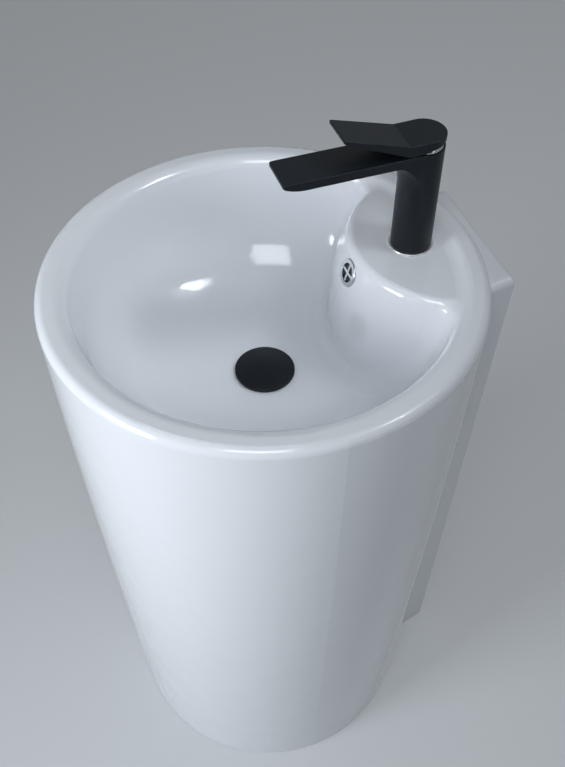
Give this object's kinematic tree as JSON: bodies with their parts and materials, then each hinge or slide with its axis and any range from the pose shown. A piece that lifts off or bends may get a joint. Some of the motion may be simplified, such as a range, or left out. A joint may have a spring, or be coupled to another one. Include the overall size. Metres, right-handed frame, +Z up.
{
  "type": "pedestal sink",
  "caption": "Floor-standing ceramic pedestal basin with a round bowl, raised tap ledge and wall spine, a single-lever black tap, a click waste and a bottle trap.",
  "frame": {"origin": "on the floor, on the upright axis of the drum and bowl", "axes": "+Z up, +Y towards the wall behind the basin, +X to the right seen from the front"},
  "size_m": [0.4994, 0.5184, 0.9987],
  "materials": {
    "glazed_ceramic": "smooth gloss glaze",
    "black_coat": "matte black coating",
    "chrome": "polished plating",
    "brass": "machined",
    "steel": "drawn and plated",
    "black_rubber": "moulded",
    "disc_ceramic": "lapped",
    "grey_plastic": "moulded",
    "white_plastic": "moulded"
  },
  "bodies": {
    "basin": {"basin_body": "glazed_ceramic", "tap_body": "black_coat", "overflow_ring": "chrome", "tap_base_ring": "chrome", "cartridge_dome": "chrome", "cartridge_nut": "brass", "waste_body": "brass", "waste_back_nut": "brass", "tap_stud": "steel", "tap_clamp_plate": "steel", "tap_stud_nut": "steel", "click_spring": "steel", "tap_base_seal": "black_rubber", "aerator_seal": "black_rubber", "tap_rubber_washer": "black_rubber", "cartridge_base_seals": "black_rubber", "waste_top_seal": "black_rubber", "waste_bottom_seal": "black_rubber", "trap_inlet_washer": "black_rubber", "trap_cup_seal": "black_rubber", "trap_outlet_washer": "black_rubber", "cartridge_fixed_disc": "disc_ceramic", "aerator_housing": "grey_plastic", "aerator_insert": "grey_plastic", "cartridge_base": "grey_plastic", "cartridge_housing": "grey_plastic", "click_housing": "grey_plastic", "trap_inlet_nut": "white_plastic", "trap_inlet_tube": "white_plastic", "trap_head": "white_plastic", "trap_cup": "white_plastic", "trap_outlet_nut": "white_plastic", "trap_outlet_tube": "white_plastic"},
    "mixer_rotor": {"cartridge_rotor": "grey_plastic", "cartridge_pivot_pin": "steel"},
    "mixer_lever": {"tap_lever": "black_coat", "cartridge_spindle": "steel", "lever_grub_screw": "steel", "lever_index_cap": "black_coat"},
    "mixer_disc": {"cartridge_moving_disc": "disc_ceramic", "cartridge_carrier": "grey_plastic"},
    "waste_plug": {"waste_cap": "black_coat", "waste_cap_seal": "black_rubber", "click_plunger": "grey_plastic"}
  },
  "joints": [
    {"name": "lever_turn", "type": "hinge", "parent": "basin", "child": "mixer_rotor", "pos_m": [0, 0.178, 0.944], "axis": [0, 0, 1], "range_deg": [-45, 45]},
    {"name": "lever_lift", "type": "hinge", "parent": "mixer_rotor", "child": "mixer_lever", "pos_m": [0, 0.178, 0.944], "axis": [-1, 0, 0], "range_deg": [0, 20]},
    {"name": "disc_slide", "type": "slide", "parent": "mixer_rotor", "child": "mixer_disc", "axis": [0, -1, 0], "range_m": [0, 0.00347]},
    {"name": "plug_slide", "type": "slide", "parent": "basin", "child": "waste_plug", "axis": [0, 0, 1], "range_m": [0, 0.008], "deforming": ["click_spring"]}
  ],
  "couplings": [
    {"joint": "disc_slide", "follows": "lever_lift", "m_per_rad": 0.0099493}
  ]
}
